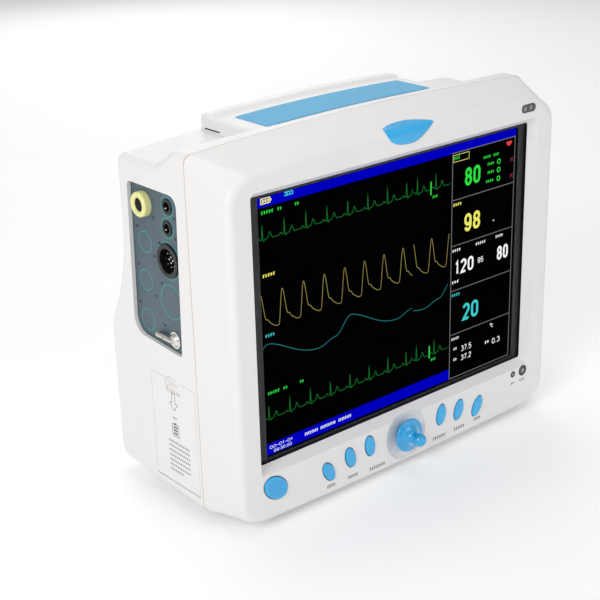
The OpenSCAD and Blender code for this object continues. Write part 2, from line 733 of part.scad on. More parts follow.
module power_supply() color([0.55, 0.5, 0.3]) {
  block(40, 134, -8, 48, 26, 28);
  block(48, 78, 0, 30, 28, 56);
  block(84, 104, 4, 20, 28, 50);
  block(110, 128, 8, 40, 28, 48);
  for (x = [65, 128], y = [-2, 42]) let (z = under_at(y + 3) + wall + 0.2)
    translate([x, y, z]) cylinder(r = 3, h = 26 - z);
}

module cuff_pump() color(steel) translate([-85, -24.6, 140]) {
  cylinder(r = 13, h = 58);
  translate([0, 0, 58]) cylinder(r = 9, h = 8);
}

module cuff_valves() color(near_black)
  for (i = [0:1]) translate([-100 + i * 22, -41.6, 104]) {
    cube([16, 18, 26]);
    translate([8, 9, 26]) cylinder(r = 2, h = 7);
  }

fan_spot = [-68, 62];

module fan_frame() color(near_black) difference() {
  block(fan_spot[0] - 20, fan_spot[0] + 20, 57, 67.2, fan_spot[1] - 20, fan_spot[1] + 20);
  translate([fan_spot[0], 59, fan_spot[1]]) rotate([-90, 0, 0]) cylinder(r = 18.6, h = 12);
  translate([fan_spot[0], 50, fan_spot[1]]) rotate([-90, 0, 0]) difference() {
    cylinder(r = 18.6, h = 12);
    cylinder(r = 9, h = 12);
    for (a = [0, 120, 240]) rotate(a) translate([0, -1.5, 0]) cube([20, 3, 12]);
  }
}

module fan_rotor() color([0.15, 0.15, 0.16]) translate([fan_spot[0], 59.3, fan_spot[1]])
  rotate([-90, 0, 0]) {
    cylinder(r = 8.5, h = 7);
    for (i = [0:6]) rotate(i * 360 / 7) translate([8, 0, 3.5]) rotate([38, 0, 0])
      translate([0, -4.6, -0.6]) cube([9.6, 9.2, 1.2]);
  }

module speaker() color(near_black) right_side(speaker_spot[0], speaker_spot[1])
  rotate_extrude() polygon([[0, -21], [11, -21], [11, -12], [23, -7.6], [26, -7.6], [26, -3.4],
    [23, -3.4], [21, -5], [9, -10], [0, -9]]);

// ---- back: service panel, inlet, stud and port --------------------------------------------

inlet_spot = [66, 62];
fuse_spots = [[34, 72], [34, 52]];
stud_spot = [6, 62];
port_spot = [-22, 62];
panel_screw_spots = [for (x = [-1, 1], z = [rear_open[1] + 6, rear_open[2] - 6])
  [x * (rear_open[0] - 6), z]];

module rear_panel() color(steel) difference() {
  block(-rear_open[0] + gap, rear_open[0] - gap, rear_plate_y - 2, rear_plate_y,
    rear_open[1] + gap, rear_open[2] - gap);
  block(inlet_spot[0] - 14.2, inlet_spot[0] + 14.2, 60, 80, inlet_spot[1] - 10.2,
    inlet_spot[1] + 10.2);
  block(port_spot[0] - 8.2, port_spot[0] + 8.2, 60, 80, port_spot[1] - 7.2, port_spot[1] + 7.2);
  for (f = fuse_spots) translate([f[0], 60, f[1]]) rotate([-90, 0, 0]) cylinder(r = 6.2, h = 20);
  translate([stud_spot[0], 60, stud_spot[1]]) rotate([-90, 0, 0]) cylinder(r = 3.1, h = 20);
  for (a = [0:45:315]) translate([fan_spot[0], 60, fan_spot[1]]) rotate([-90, a, 0])
    translate([6.5, -2, 0]) cube([10.5, 4, 20]);
  for (s = panel_screw_spots) translate([s[0], 60, s[1]]) rotate([-90, 0, 0])
    cylinder(r = 1.7, h = 20);
}

module panel_screws() color(steel)
  for (s = panel_screw_spots) translate([s[0], rear_plate_y, s[1]]) rotate([-90, 0, 0]) {
    cylinder(r = 2.8, h = 1.6);
    translate([0, 0, -6.5]) cylinder(r = 1.45, h = 6.6);
  }

module mains_inlet() color(near_black) difference() {
  union() {
    block(inlet_spot[0] - 14, inlet_spot[0] + 14, 50.5, rear_plate_y, inlet_spot[1] - 10,
      inlet_spot[1] + 10);
    block(inlet_spot[0] - 16, inlet_spot[0] + 16, rear_plate_y, rear_plate_y + 2.4,
      inlet_spot[1] - 12, inlet_spot[1] + 12);
  }
  block(inlet_spot[0] - 12.2, inlet_spot[0] + 12.2, 54.5, 90, inlet_spot[1] - 8, inlet_spot[1] + 8);
}

module inlet_pins() color(steel)
  for (p = [[-7, -2], [0, 3], [7, -2]])
    block(inlet_spot[0] + p[0] - 1, inlet_spot[0] + p[0] + 1, 54.5, 70.5, inlet_spot[1] + p[1] - 2,
      inlet_spot[1] + p[1] + 2);

module fuse_caps() color(near_black)
  for (f = fuse_spots) translate([f[0], 0, f[1]]) rotate([-90, 0, 0]) difference() {
    union() {
      translate([0, 0, 52]) cylinder(r = 6, h = 19);
      translate([0, 0, rear_plate_y]) cylinder(r = 7.5, h = 4.5);
    }
    translate([-5, -0.6, rear_plate_y + 3.3]) cube([10, 1.2, 3]);
  }

module ground_stud() color([0.80, 0.68, 0.30]) translate([stud_spot[0], 0, stud_spot[1]])
  rotate([-90, 0, 0]) {
    translate([0, 0, 60]) cylinder(r = stud_r, h = 19.5);
    translate([0, 0, rear_plate_y]) cylinder(r = 5.5, h = 2);
    translate([0, 0, 63]) cylinder(r = 5.5, h = 4.9);
  }

module data_port() color(steel) difference() {
  block(port_spot[0] - 8, port_spot[0] + 8, 54, rear_plate_y + 1, port_spot[1] - 7,
    port_spot[1] + 7);
  block(port_spot[0] - 6, port_spot[0] + 6, 57, 80, port_spot[1] - 4.6, port_spot[1] + 3);
  block(port_spot[0] - 3, port_spot[0] + 3, 57, 80, port_spot[1] - 5.8, port_spot[1] - 4);
}

// ---- bottom: feet, base plate and screws --------------------------------------------------

module feet() color(near_black) {
  for (s = [-1, 1]) translate([s * 112, -36, 0]) cylinder(r = 8, h = 6.2);
  for (s = [-1, 1]) translate([s * 112, 58, 0]) cylinder(r = 8, h = under_at(50) - 0.3);
}

module base_plate() color(steel) difference() {
  block(-base_plate_w / 2 + gap, base_plate_w / 2 - gap, base_plate_y - base_plate_d / 2 + gap,
    base_plate_y + base_plate_d / 2 - gap, base_z, base_z + 3.2);
  for (x = [-1, 1], y = [-1, 1])
    translate([x * base_pitch_x / 2, base_plate_y + y * base_pitch_y / 2, 0])
      cylinder(r = base_hole_r, h = 20);
  for (x = [-1, 1]) translate([x * base_screw_x, base_plate_y, 0]) cylinder(r = 1.7, h = 20);
}

module base_screws() color(steel)
  for (x = [-1, 1]) translate([x * base_screw_x, base_plate_y, 0]) {
    translate([0, 0, base_z - 1.4]) cylinder(r = 2.6, h = 1.4);
    translate([0, 0, base_z]) cylinder(r = 1.45, h = 6.5);
  }

module case_screws() color(steel)
  for (s = case_screw_spots) translate([s[0], 0, s[1]]) rotate([-90, 0, 0]) {
    translate([0, 0, screw_seat_y]) cylinder(r = 2.9, h = 2.4);
    translate([0, 0, -40]) cylinder(r = 1.25, h = 40 + screw_seat_y + 0.5);
  }

// ---- right side: strip recorder ----------------------------------------------------------

roll_at = [-12, -27];
roll_r = 16;
roller_at = [19, -9.5];
roller_r = 5;
roll_half = 25;

module in_recorder() {
  right_side(recorder_mid[0], recorder_mid[1]) children();
}

module recorder_case() color([0.2, 0.2, 0.22]) in_recorder() {
  difference() {
    translate([-33, -37, -50]) cube([66, 74, 46.4]);
    translate([-30, -34.6, -48]) cube([60, 69.2, 60]);
  }
  for (s = [-1, 1]) translate([s * 30.2, roll_at[0], roll_at[1]]) rotate([0, -s * 90, 0])
    cylinder(r = 5.5, h = 8);
}

module paper_roll() color([0.96, 0.96, 0.94]) in_recorder()
  translate([-roll_half, roll_at[0], roll_at[1]]) rotate([0, 90, 0]) difference() {
    cylinder(r = roll_r, h = 2 * roll_half);
    translate([0, 0, -1]) cylinder(r = 6, h = 2 * roll_half + 2);
  }

module print_head() color(near_black) in_recorder() {
  translate([-27, roller_at[0] + roller_r + 0.7, -18]) cube([54, 4, 13]);
  translate([-29.8, roller_at[0] + roller_r + 3, -30]) cube([59.6, 3, 14]);
}

module recorder_door() color(shell_white) in_recorder() {
  difference() {
    hinged_plate(recorder_w, recorder_h);
    translate([-26.5, roller_at[0] + roller_r + 2, -4]) cube([53, 1.8, 6]);
  }
  for (s = [-1, 1]) difference() {
    translate([s * 27.4 - 1.1, roller_at[0] - 4, -12.5]) cube([2.2, 8, 10]);
    translate([s * 27.4 - 2, roller_at[0], roller_at[1]]) rotate([0, 90, 0]) cylinder(r = 1.6, h = 4);
  }
}

module recorder_roller() color(near_black) in_recorder()
  translate([0, roller_at[0], roller_at[1]]) rotate([0, 90, 0]) {
    translate([0, 0, -25.8]) cylinder(r = roller_r, h = 51.6);
    translate([0, 0, -28.3]) cylinder(r = 1.55, h = 56.6);
  }

module recorder_release() color(sky_blue) in_recorder() translate([0, release_up, 0]) {
  translate([0, 0, -6.2]) linear_extrude(7) slot_shape(16, 7);
  translate([0, 0, -6.2]) linear_extrude(1.2) slot_shape(20, 10);
}

// ---- nodes -------------------------------------------------------------------------------

front_bezel();
rear_shell();
display_window();
lcd_frame();
lcd_panel();
alarm_light();
sensor_window();
mains_lamp();
run_lamp();
power_button();
menu_key();
start_key();
record_key();
silence_key();
freeze_key();
main_key();
knob();
knob_shaft();
encoder_rotor();
encoder_body();
key_board();
key_switches();
chassis();
main_board();
power_supply();
battery_bay();
battery_pack();
battery_door();
battery_latch();
connector_panel();
oximeter_socket();
temperature_sockets();
ecg_socket();
ecg_pins();
cuff_fitting();
sensor_board();
cuff_pump();
cuff_valves();
handle();
handle_grip();
feet();
base_plate();
base_screws();
rear_panel();
panel_screws();
mains_inlet();
inlet_pins();
fuse_caps();
ground_stud();
data_port();
fan_frame();
fan_rotor();
speaker();
recorder_case();
recorder_door();
recorder_roller();
paper_roll();
print_head();
recorder_release();
case_screws();
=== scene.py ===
"""Looks of the bedside patient monitor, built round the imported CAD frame.

Lengths in this file are millimetres and become metres through MM. Places come from the boxes of
the CAD nodes. On the screen, u runs right and v up from the middle of the lit area.
"""
import json
import math

import bmesh
import bpy
from mathutils import Matrix, Vector

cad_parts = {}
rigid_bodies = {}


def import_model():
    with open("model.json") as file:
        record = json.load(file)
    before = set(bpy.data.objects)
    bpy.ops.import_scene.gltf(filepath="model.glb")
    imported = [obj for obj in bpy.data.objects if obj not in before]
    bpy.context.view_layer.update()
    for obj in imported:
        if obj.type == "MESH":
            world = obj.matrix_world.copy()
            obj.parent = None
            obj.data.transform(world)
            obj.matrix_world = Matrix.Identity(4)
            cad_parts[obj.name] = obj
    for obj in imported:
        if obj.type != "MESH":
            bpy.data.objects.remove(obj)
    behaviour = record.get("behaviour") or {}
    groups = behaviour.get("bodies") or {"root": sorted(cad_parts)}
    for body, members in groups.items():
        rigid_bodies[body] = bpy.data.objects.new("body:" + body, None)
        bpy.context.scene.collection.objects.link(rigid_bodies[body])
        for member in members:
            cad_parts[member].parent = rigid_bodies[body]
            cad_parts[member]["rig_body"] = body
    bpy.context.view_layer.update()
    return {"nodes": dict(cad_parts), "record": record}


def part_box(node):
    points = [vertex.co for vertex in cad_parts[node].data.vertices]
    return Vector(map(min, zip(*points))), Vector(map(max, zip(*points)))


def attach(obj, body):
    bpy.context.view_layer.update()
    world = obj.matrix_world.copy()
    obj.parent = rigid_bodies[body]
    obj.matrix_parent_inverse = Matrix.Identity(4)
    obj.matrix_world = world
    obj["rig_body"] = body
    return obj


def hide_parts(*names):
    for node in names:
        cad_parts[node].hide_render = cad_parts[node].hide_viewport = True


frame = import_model()
MM = 0.001
SUBPARTS = {s["node"]: s["material_slot"] for s in frame["record"]["subparts"]}


def low(node):
    """Lowest corner of a CAD node, in millimetres."""
    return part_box(node)[0] / MM


def high(node):
    """Highest corner of a CAD node, in millimetres."""
    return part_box(node)[1] / MM


def middle(node):
    return (low(node) + high(node)) / 2


# ---- materials -------------------------------------------------------------------------------

class Tree:
    """The node tree of a new material, with the few helpers that the materials share."""

    def __init__(self, name):
        self.material = bpy.data.materials.new(name)
        self.material.use_nodes = True
        self.nodes = self.material.node_tree.nodes
        self.links = self.material.node_tree.links
        self.shader = self.nodes["Principled BSDF"]
        self.place = self.nodes.new("ShaderNodeTexCoord").outputs["Object"]

    def stretched(self, factors):
        mapping = self.nodes.new("ShaderNodeMapping")
        mapping.inputs["Scale"].default_value = factors
        self.links.new(self.place, mapping.inputs["Vector"])
        return mapping.outputs["Vector"]

    def noise(self, size, detail=3.0, stretch=None):
        """Noise with features of about size millimetres."""
        node = self.nodes.new("ShaderNodeTexNoise")
        node.inputs["Scale"].default_value = 1 / (size * MM)
        node.inputs["Detail"].default_value = detail
        self.links.new(self.stretched(stretch) if stretch else self.place, node.inputs["Vector"])
        return node.outputs["Fac"]

    def cells(self, size):
        node = self.nodes.new("ShaderNodeTexVoronoi")
        node.inputs["Scale"].default_value = 1 / (size * MM)
        self.links.new(self.place, node.inputs["Vector"])
        return node.outputs["Distance"]

    def remap(self, value, from_low, from_high, to_low, to_high):
        node = self.nodes.new("ShaderNodeMapRange")
        for name, number in zip(("From Min", "From Max", "To Min", "To Max"),
                                (from_low, from_high, to_low, to_high)):
            node.inputs[name].default_value = number
        self.links.new(value, node.inputs["Value"])
        return node.outputs["Result"]

    def mix(self, factor, first, second):
        node = self.nodes.new("ShaderNodeMix")
        node.data_type = "RGBA"
        for socket, value in ((node.inputs[0], factor), (node.inputs[6], first),
                              (node.inputs[7], second)):
            if isinstance(value, bpy.types.NodeSocket):
                self.links.new(value, socket)
            elif isinstance(value, (tuple, list)):
                socket.default_value = (*value[:3], 1)
            else:
                socket.default_value = value
        return node.outputs[2]

    def bump(self, height, depth, strength=1.0, under=None):
        """Bump whose full height is depth millimetres."""
        node = self.nodes.new("ShaderNodeBump")
        node.inputs["Distance"].default_value = depth * MM
        node.inputs["Strength"].default_value = strength
        self.links.new(height, node.inputs["Height"])
        if under is not None:
            self.links.new(under, node.inputs["Normal"])
        return node.outputs["Normal"]

    def set(self, **values):
        for name, value in values.items():
            socket = self.shader.inputs[name.replace("_", " ")]
            if isinstance(value, bpy.types.NodeSocket):
                self.links.new(value, socket)
            elif isinstance(value, (tuple, list)) and len(value) == 3:
                socket.default_value = (*value, 1)
            else:
                socket.default_value = value


def tint(colour, factor):
    return tuple(min(1.0, c * factor) for c in colour)


def moulded(name, colour, rough=0.42, grain=0.5, depth=0.02, uneven=0.04, scuffs=0.0, coat=0.0):
    """Moulded plastic: a fine spark-eroded grain, faint flow marks and uneven gloss."""
    t = Tree(name)
    flow = t.remap(t.noise(55, 4, (1, 1, 0.45)), 0.3, 0.7, 0, 1)
    base = t.mix(flow, tint(colour, 1 - uneven), tint(colour, 1 + uneven))
    speck = t.remap(t.noise(1.1, 2), 0.35, 0.65, 0, uneven)
    base = t.mix(speck, base, tint(colour, 0.55))
    if scuffs:
        wear = t.remap(t.noise(22, 8), 0.60, 0.78, 0, scuffs)
        base = t.mix(wear, base, tint(colour, 0.62))
    gloss = t.remap(t.noise(9, 5), 0.3, 0.7, rough - 0.06, rough + 0.08)
    sink = t.bump(t.noise(38, 2), 0.25, 0.25)
    skin = t.bump(t.noise(grain, 4), depth, 0.6, sink)
    t.set(Base_Color=base, Roughness=gloss, Normal=skin, Coat_Weight=coat, Coat_Roughness=0.12)
    return t.material


def brushed(name, colour, rough=0.3):
    """Metal with fine parallel scratches along x."""
    t = Tree(name)
    lines = t.noise(0.6, 6, (1, 12, 12))
    cloud = t.remap(t.noise(14, 4), 0.3, 0.7, 0, 1)
    base = t.mix(cloud, tint(colour, 0.86), tint(colour, 1.06))
    base = t.mix(t.remap(lines, 0.35, 0.65, 0, 0.25), base, tint(colour, 0.7))
    t.set(Base_Color=base, Metallic=1.0, Roughness=t.remap(lines, 0.3, 0.7, rough - 0.08, rough + 0.12),
          Normal=t.bump(lines, 0.01, 0.5))
    return t.material


def plated(name, colour, rough=0.18):
    """Plated or turned metal with small dull spots."""
    t = Tree(name)
    spots = t.remap(t.noise(2.2, 5), 0.5, 0.72, 0, 1)
    base = t.mix(spots, colour, tint(colour, 0.7))
    t.set(Base_Color=base, Metallic=1.0, Roughness=t.remap(spots, 0, 1, rough, rough + 0.25),
          Normal=t.bump(t.noise(0.5, 3), 0.008, 0.4))
    return t.material


def rubber(name, colour, rough=0.7, ribs=None):
    """Soft rubber: matte, faintly dusty, with an optional run of fine ribs of that pitch, their troughs
    darkened as painted shade.
    """
    t = Tree(name)
    dust = t.remap(t.noise(7, 6), 0.42, 0.72, 0, 0.14)
    base = t.mix(dust, colour, tint(colour, 1.5))
    normal = t.bump(t.noise(0.35, 3), 0.03, 0.7)
    if ribs:
        wave = t.nodes.new("ShaderNodeTexWave")
        wave.bands_direction = "Y"
        wave.inputs["Scale"].default_value = 0.314 / (ribs * MM)
        t.links.new(t.place, wave.inputs["Vector"])
        normal = t.bump(wave.outputs["Fac"], 0.2, 0.6, normal)
        # painted shade: the troughs of the ribs are darkened
        base = t.mix(t.remap(wave.outputs["Fac"], 0, 0.4, 0.3, 0), base, tint(colour, 0.6))
    t.set(Base_Color=base, Roughness=t.remap(dust, 0, 0.14, rough, rough + 0.15), Normal=normal,
          Sheen_Weight=0.06, Sheen_Roughness=0.4)
    return t.material


def circuit(name, colour):
    """Circuit board: solder mask over copper tracks."""
    t = Tree(name)
    brick = t.nodes.new("ShaderNodeTexBrick")
    brick.inputs["Scale"].default_value = 1 / (9 * MM)
    brick.inputs["Mortar Size"].default_value = 0.03
    t.links.new(t.place, brick.inputs["Vector"])
    tracks = t.mix(brick.outputs["Fac"], colour, tint(colour, 1.9))
    pads = t.remap(t.cells(4), 0.12, 0.15, 1, 0)
    base = t.mix(pads, tracks, (0.72, 0.66, 0.42))
    t.set(Base_Color=base, Roughness=t.remap(t.noise(3, 3), 0.3, 0.7, 0.28, 0.45),
          Normal=t.bump(brick.outputs["Fac"], 0.05, 0.6))
    return t.material


def sleeve(name, colour):
    """Shrink sleeve of the battery pack: glossy film with long faint wrinkles."""
    t = Tree(name)
    wrinkles = t.noise(6, 4, (0.25, 1, 1))
    base = t.mix(t.remap(wrinkles, 0.3, 0.7, 0, 1), tint(colour, 0.85), tint(colour, 1.2))
    t.set(Base_Color=base, Roughness=t.remap(wrinkles, 0.3, 0.7, 0.2, 0.38),
          Normal=t.bump(wrinkles, 0.4, 0.6), Coat_Weight=0.3)
    return t.material


def powder_coat(name, colour):
    """Powder-coated sheet: orange-peel skin, small chips."""
    t = Tree(name)
    peel = t.cells(1.3)
    chips = t.remap(t.noise(5, 8), 0.66, 0.72, 0, 0.5)
    base = t.mix(chips, t.mix(t.remap(t.noise(40, 3), 0.3, 0.7, 0, 1), tint(colour, 0.94),
                              tint(colour, 1.05)), tint(colour, 0.6))
    t.set(Base_Color=base, Metallic=0.15, Roughness=t.remap(peel, 0, 0.8, 0.38, 0.52),
          Normal=t.bump(peel, 0.05, 0.5))
    return t.material


def paper(name, colour):
    t = Tree(name)
    fibre = t.noise(0.8, 6, (1, 5, 5))
    base = t.mix(t.remap(fibre, 0.3, 0.7, 0, 1), tint(colour, 0.95), tint(colour, 1.02))
    t.set(Base_Color=base, Roughness=t.remap(fibre, 0.3, 0.7, 0.55, 0.75),
          Normal=t.bump(fibre, 0.02, 0.4))
    return t.material


def coated_window(name):
    """Clear display window with an anti-reflection coat: mostly open, with a weak reflection."""
    t = Tree(name)
    t.nodes.remove(t.shader)
    output = next(n for n in t.nodes if n.type == "OUTPUT_MATERIAL")
    clear = t.nodes.new("ShaderNodeBsdfTransparent")
    clear.inputs["Color"].default_value = (0.97, 0.975, 0.98, 1)
    gloss = t.nodes.new("ShaderNodeBsdfGlossy")
    smears = t.noise(30, 5)
    t.links.new(t.remap(smears, 0.3, 0.7, 0.04, 0.14), gloss.inputs["Roughness"])
    slant = t.nodes.new("ShaderNodeLayerWeight")
    slant.inputs["Blend"].default_value = 0.5
    weak = t.remap(slant.outputs["Facing"], 0.42, 1, 0, 0.10)
    mixer = t.nodes.new("ShaderNodeMixShader")
    t.links.new(weak, mixer.inputs["Fac"])
    t.links.new(clear.outputs["BSDF"], mixer.inputs[1])
    t.links.new(gloss.outputs["BSDF"], mixer.inputs[2])
    t.links.new(mixer.outputs["Shader"], output.inputs["Surface"])
    return t.material


def glowing(name, colour):
    """A lit colour of the screen, with the faint unevenness of a backlight."""
    t = Tree(name)
    lamp = t.remap(t.noise(45, 2), 0.3, 0.7, 0.92, 1.04)
    base = t.mix(lamp, (0, 0, 0), colour)
    t.set(Base_Color=tint(colour, 0.02), Emission_Color=base, Emission_Strength=1.0,
          Roughness=0.6, Specular_IOR_Level=0.0)
    return t.material


def screen_black(name):
    """The unlit liquid crystal: almost black, with a very fine sub-pixel raster."""
    t = Tree(name)
    raster = t.noise(0.3, 2, (1, 1, 3))
    base = t.mix(t.remap(raster, 0.3, 0.7, 0, 1), (0.0004, 0.0004, 0.0006), (0.0009, 0.0009, 0.0012))
    t.set(Base_Color=base, Roughness=0.6, Specular_IOR_Level=0.0)
    return t.material


def print_and_shade_paint(name, colour):
    """Pad printing, thin and slightly patchy; the same paint also gives the painted shade in the gaps
    and the case seam.
    """
    t = Tree(name)
    base = t.mix(t.remap(t.noise(0.6, 3), 0.4, 0.7, 0, 0.35), colour, tint(colour, 1.7))
    t.set(Base_Color=base, Roughness=t.remap(t.noise(2, 3), 0.3, 0.7, 0.45, 0.6),
          Normal=t.bump(t.noise(0.4, 3), 0.01, 0.5))
    return t.material


SHELL = (0.80, 0.785, 0.77)
BLUE = (0.022, 0.40, 0.78)
MATERIALS = {
    "shell": moulded("shell_plastic", SHELL, 0.40, 0.45, 0.018, 0.012, 0.06),
    "blue": moulded("key_plastic", BLUE, 0.2, 0.35, 0.006, 0.05, 0.0, 0.6),
    "slate": moulded("panel_plastic", (0.075, 0.112, 0.138), 0.45, 0.5, 0.03, 0.08, 0.15),
    "black": moulded("black_plastic", (0.004, 0.004, 0.005), 0.34, 0.5, 0.012, 0.12),
    "dark_grey": moulded("dark_plastic", (0.035, 0.034, 0.036), 0.46, 0.6, 0.03, 0.1),
    "clear": coated_window("window_clear"),
    "smoked": moulded("smoked_lens", (0.035, 0.036, 0.038), 0.12, 0.8, 0.004, 0.08, 0.0, 0.6),
    "lens": moulded("lamp_lens", (0.22, 0.235, 0.23), 0.14, 0.8, 0.004, 0.1, 0.0, 0.7),
    "lit_panel": screen_black("liquid_crystal"),
    "collar": moulded("collar_plastic", (0.86, 0.84, 0.36), 0.28, 0.5, 0.01, 0.05, 0.1, 0.25),
    "metal": brushed("brushed_metal", (0.62, 0.62, 0.63)),
    "nickel": plated("nickel_plate", (0.78, 0.75, 0.70)),
    "brass": plated("brass_stud", (0.78, 0.60, 0.26), 0.22),
    "soft": rubber("grip_rubber", (0.075, 0.40, 0.66), 0.55, 2.4),
    "rubber": rubber("foot_rubber", (0.018, 0.018, 0.019), 0.75),
    "board": circuit("circuit_board", (0.012, 0.10, 0.045)),
    "pack": sleeve("battery_sleeve", (0.02, 0.045, 0.16)),
    "paper": paper("recorder_paper", (0.86, 0.85, 0.80)),
    "zinc": powder_coat("panel_coat", (0.42, 0.43, 0.44)),
}

# Looks that differ from the slot's usual one.
OWN_LOOK = {
    "lcd_frame": moulded("frame_black", (0.006, 0.006, 0.0065), 0.45, 0.5, 0.01, 0.1),
    "knob": moulded("knob_gloss", (0.008, 0.36, 0.72), 0.1, 0.35, 0.004, 0.05, 0.0, 0.9),
    "socket_lining": moulded("socket_grey", (0.06, 0.06, 0.058), 0.5, 0.4, 0.02, 0.1),
}
SCREEN = {
    "blue": glowing("lit_blue", (0.0, 0.0, 0.52)),
    "green": glowing("lit_green", (0.03, 0.75, 0.06)),
    "trace_green": glowing("lit_trace_green", (0.012, 0.24, 0.035)),
    "yellow": glowing("lit_yellow", (0.95, 0.90, 0.16)),
    "trace_yellow": glowing("lit_trace_yellow", (0.40, 0.34, 0.08)),
    "teal": glowing("lit_teal", (0.06, 0.62, 0.62)),
    "trace_teal": glowing("lit_trace_teal", (0.02, 0.22, 0.24)),
    "white": glowing("lit_white", (0.95, 0.95, 0.95)),
    "grey": glowing("lit_grey", (0.15, 0.15, 0.16)),
    "red": glowing("lit_red", (0.75, 0.05, 0.06)),
    "dark_red": glowing("lit_dark_red", (0.22, 0.03, 0.04)),
}
PRINT_GREY = print_and_shade_paint("print_grey", (0.075, 0.075, 0.08))
# dark print, also the painted shade in the gaps round keys, lamps and the handle's foot
PRINT_AND_SHADE_DARK = print_and_shade_paint("print_and_shade_dark", (0.015, 0.018, 0.03))
PRINT_TEAL = print_and_shade_paint("print_teal", (0.03, 0.27, 0.24))
PRINT_AND_GROOVE_SHADE_BLUE = print_and_shade_paint("print_and_groove_shade_blue", (0.03, 0.24, 0.52))
# cream-tan colour of the painted shade in the case seam
SEAM_SHADE_CREAM = print_and_shade_paint("seam_shade_cream", (0.50, 0.42, 0.36))


# ---- pieces ----------------------------------------------------------------------------------

def new_piece(name, mesh, material, body):
    piece = bpy.data.objects.new(name, mesh)
    bpy.context.scene.collection.objects.link(piece)
    mesh.materials.clear()
    mesh.materials.append(material)
    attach(piece, body)
    return piece


def refined(node, crease=32, ease=0.0):
    """Shows a CAD node as a smooth-shaded copy of the same shape, its sharp edges eased by ease."""
    source = frame["nodes"][node]
    build = bmesh.new()
    build.from_mesh(source.data)
    bmesh.ops.remove_doubles(build, verts=build.verts, dist=0.0005 * MM)
    bmesh.ops.dissolve_limit(build, angle_limit=math.radians(0.1), verts=build.verts,
                             edges=build.edges)
    for face in build.faces:
        face.smooth = True
    for edge in build.edges:
        edge.smooth = len(edge.link_faces) == 2 and edge.calc_face_angle(0) < math.radians(crease)
    mesh = bpy.data.meshes.new(node + "_look")
    build.to_mesh(mesh)
    build.free()
    if "custom_normal" in mesh.attributes:
        mesh.attributes.remove(mesh.attributes["custom_normal"])
    slot = SUBPARTS[node]
    look = OWN_LOOK.get(node, MATERIALS[slot])
    piece = new_piece(node + "_look", mesh, look, source["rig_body"])
    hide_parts(node)
    if ease:
        bevel = piece.modifiers.new("ease", "BEVEL")
        bevel.width = ease * MM
        bevel.segments = 2
        bevel.limit_method = "ANGLE"
        bevel.angle_limit = math.radians(crease)
        bevel.harden_normals = False
    weighted = piece.modifiers.new("weighted", "WEIGHTED_NORMAL")
    weighted.keep_sharp = True


def bow(u, v, half_u, half_v, start, stop, steps=14):
    """Part of an oval, from start to stop degrees."""
    turn = [math.radians(start + (stop - start) * i / steps) for i in range(steps + 1)]
    return [(u + half_u * math.cos(a), v + half_v * math.sin(a)) for a in turn]


def loop(u, v, half_u, half_v):
    return bow(u, v, half_u, half_v, 0, 345, 23)


# Strokes of the digits in a box of 1 by 1, each with whether it closes on itself
DIGIT_STROKES = {
    "0": [(bow(0.5, 0.72, 0.5, 0.28, 0, 180) + bow(0.5, 0.28, 0.5, 0.28, 180, 360), True)],
    "1": [([(0.1, 0.78), (0.55, 1.0), (0.55, 0.0)], False)],
    "2": [(bow(0.5, 0.72, 0.5, 0.28, 165, -25) + [(0.0, 0.0), (1.0, 0.0)], False)],
    "3": [(bow(0.45, 0.76, 0.5, 0.24, 150, -90), False), (bow(0.45, 0.26, 0.55, 0.26, 90, -150), False)],
    "5": [([(0.95, 1.0), (0.15, 1.0), (0.05, 0.55)] + bow(0.48, 0.31, 0.52, 0.31, 115, -150), False)],
    "7": [([(0.0, 1.0), (1.0, 1.0), (0.35, 0.0)], False)],
    "8": [(loop(0.5, 0.76, 0.45, 0.24), True), (loop(0.5, 0.26, 0.5, 0.26), True)],
    "9": [(loop(0.5, 0.69, 0.5, 0.31), True),
          ([(1.0, 0.69)] + bow(0.5, 0.35, 0.5, 0.35, 0, -155), False)],
    ".": [([(0.2, 0.0), (0.8, 0.0)], False)],
    "-": [([(0.0, 0.5), (1.0, 0.5)], False)],
    ":": [([(0.2, 0.2), (0.8, 0.2)], False), ([(0.2, 0.8), (0.8, 0.8)], False)],
}
DIGIT_WIDTH = {".": 0.5, "-": 0.7, ":": 0.5, "1": 0.75}


